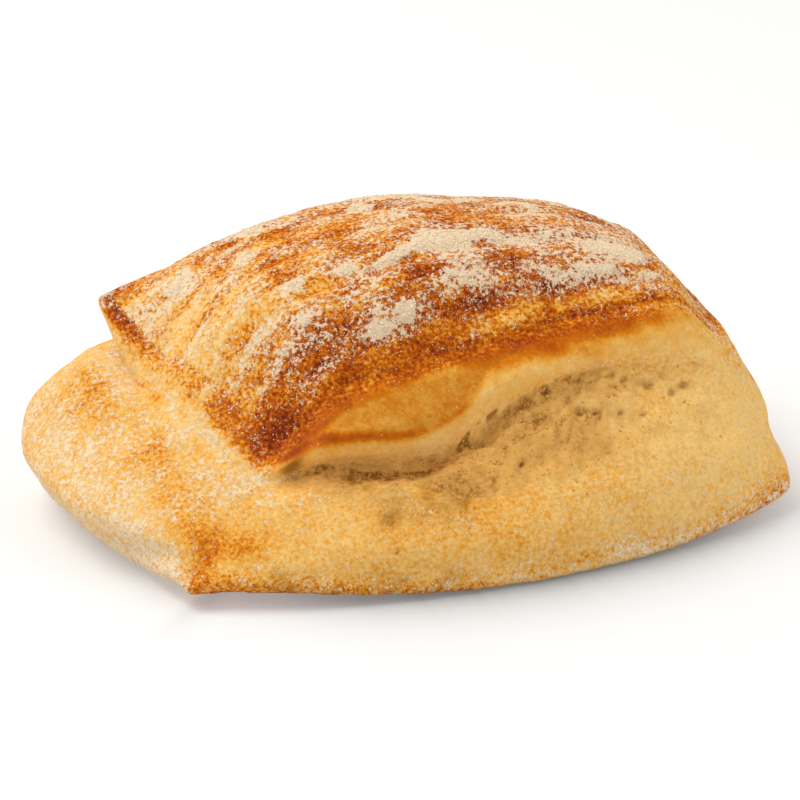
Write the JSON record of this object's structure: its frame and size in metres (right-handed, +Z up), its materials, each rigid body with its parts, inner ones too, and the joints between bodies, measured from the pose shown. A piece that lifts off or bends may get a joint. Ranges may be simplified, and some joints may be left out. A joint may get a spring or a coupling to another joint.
{
  "type": "sourdough dinner roll",
  "caption": "Squat, square-cut sourdough roll with a floured brown top crust that lifts over a torn, pale side and rests on a flat sole.",
  "frame": {"origin": "middle of the roll's bounding box in plan, on the surface it rests on", "axes": "+X along the roll to its right end, +Y to the back, +Z up; the torn side faces -Y"},
  "size_m": [0.1102, 0.0742, 0.0428],
  "materials": {
    "crust": "baked wheat crust, golden to dark brown, dusted with flour"
  },
  "bodies": {
    "root": {"roll": "crust"}
  },
  "joints": []
}
